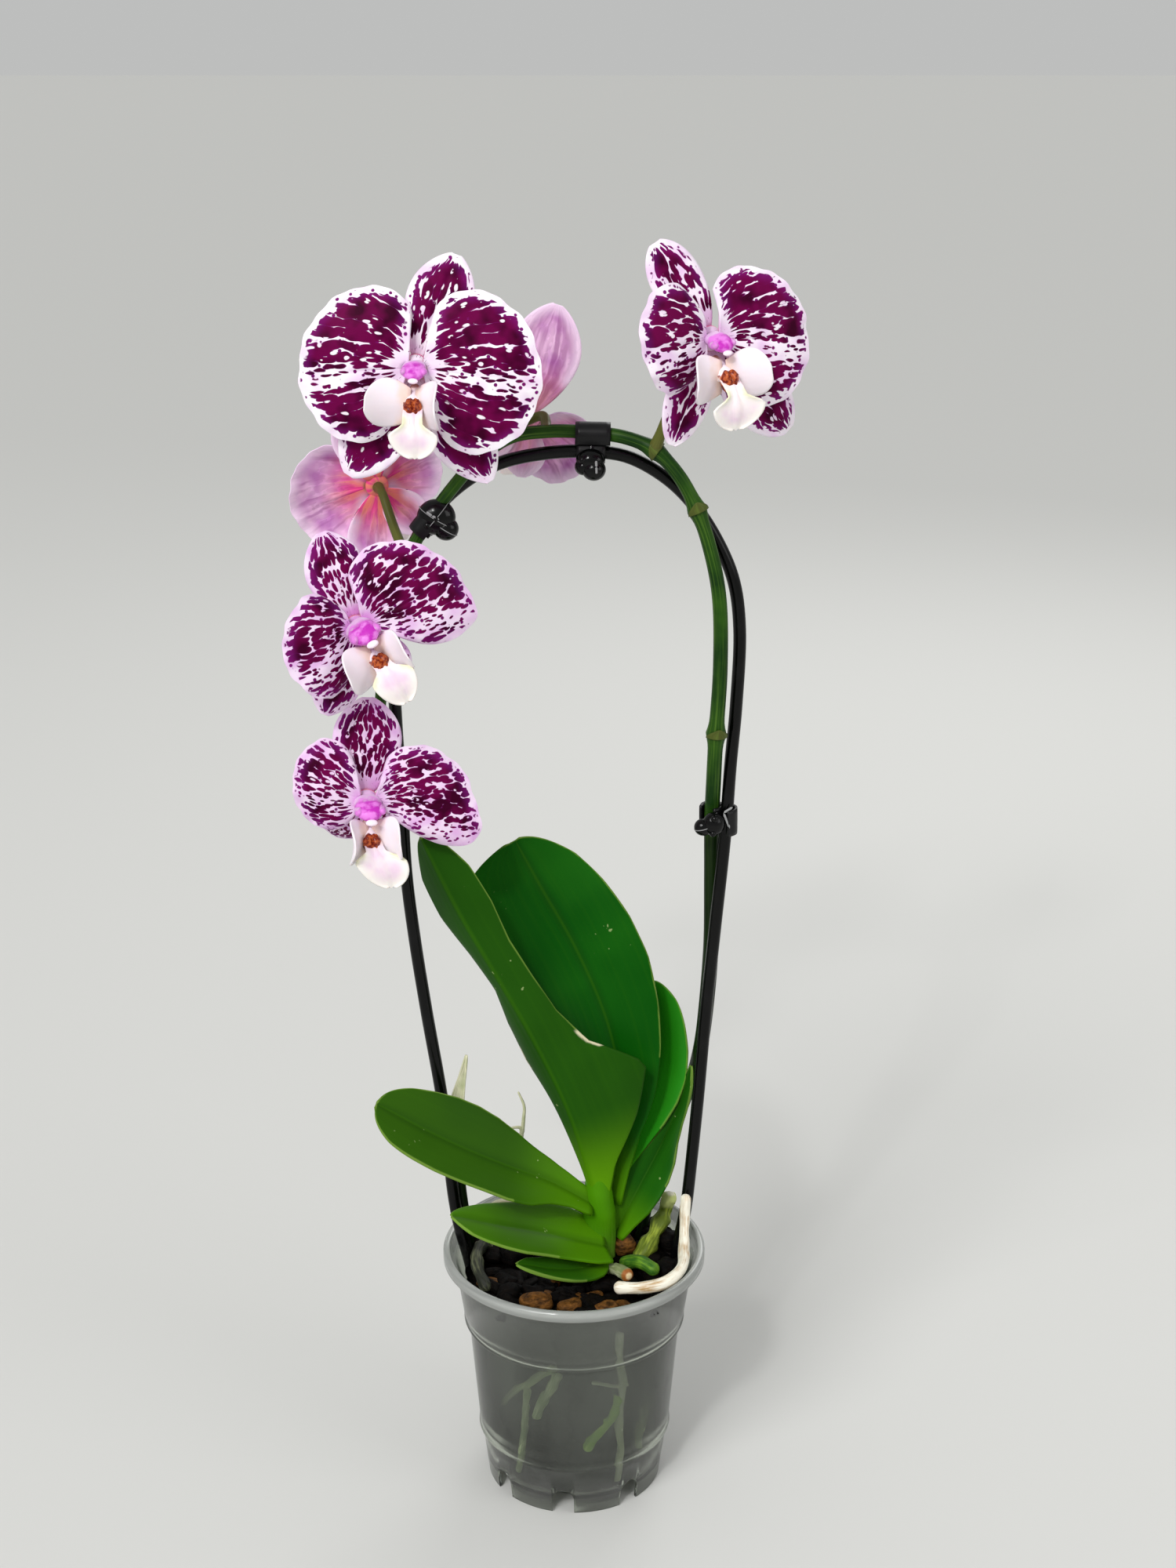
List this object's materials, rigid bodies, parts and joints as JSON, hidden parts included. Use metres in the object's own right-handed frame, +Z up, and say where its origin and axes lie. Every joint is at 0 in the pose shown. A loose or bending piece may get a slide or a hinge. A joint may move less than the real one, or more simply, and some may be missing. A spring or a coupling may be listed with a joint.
{
  "type": "potted miniature moth orchid",
  "caption": "Miniature moth orchid in a clear nursery pot, its flower stem clipped along a wire hoop, with spotted plum and white blooms.",
  "frame": {"origin": "middle of the pot's foot, on the surface that the pot stands on", "axes": "+Z up, the pot's axis; -Y toward the pot's front, which the blooms face; +X to the right seen from the front"},
  "size_m": [0.162, 0.0995, 0.4261],
  "materials": {
    "clear_wall": "satin",
    "black_wire": "gloss",
    "green_stem": "satin",
    "young_green": "satin",
    "leaf": "gloss",
    "dry_root": "matte",
    "silver_root": "matte",
    "green_root": "satin",
    "dry_bract": "matte",
    "bark": "matte",
    "black_clip": "gloss",
    "petal": "satin",
    "lip": "satin",
    "callus": "satin",
    "column": "satin"
  },
  "bodies": {
    "root": {"pot": "clear_wall", "wire_hoop": "black_wire", "flower_stem": "green_stem", "crown": "young_green", "leaf_1": "leaf", "leaf_2": "leaf", "leaf_3": "leaf", "leaf_4": "leaf", "leaf_5": "leaf", "leaf_6": "leaf", "leaf_7": "leaf", "root_white": "dry_root", "root_cut": "silver_root", "root_green": "green_root", "root_knobbly": "green_root", "root_silver": "silver_root", "root_back": "dry_root", "dry_bract": "dry_bract", "dry_wisp": "dry_bract", "bark_mix": "bark", "clip_top": "black_clip", "clip_left": "black_clip", "clip_right": "black_clip", "bloom_a_tepals": "petal", "bloom_a_lip": "lip", "bloom_a_callus": "callus", "bloom_a_column": "column", "bloom_b_tepals": "petal", "bloom_b_lip": "lip", "bloom_b_callus": "callus", "bloom_b_column": "column", "bloom_c_tepals": "petal", "bloom_c_lip": "lip", "bloom_c_callus": "callus", "bloom_c_column": "column", "bloom_d_tepals": "petal", "bloom_d_lip": "lip", "bloom_d_callus": "callus", "bloom_d_column": "column", "bloom_e_tepals": "petal", "bloom_e_lip": "lip", "bloom_e_callus": "callus", "bloom_e_column": "column", "bloom_f_tepals": "petal", "bloom_f_lip": "lip", "bloom_f_callus": "callus", "bloom_f_column": "column"}
  },
  "joints": []
}
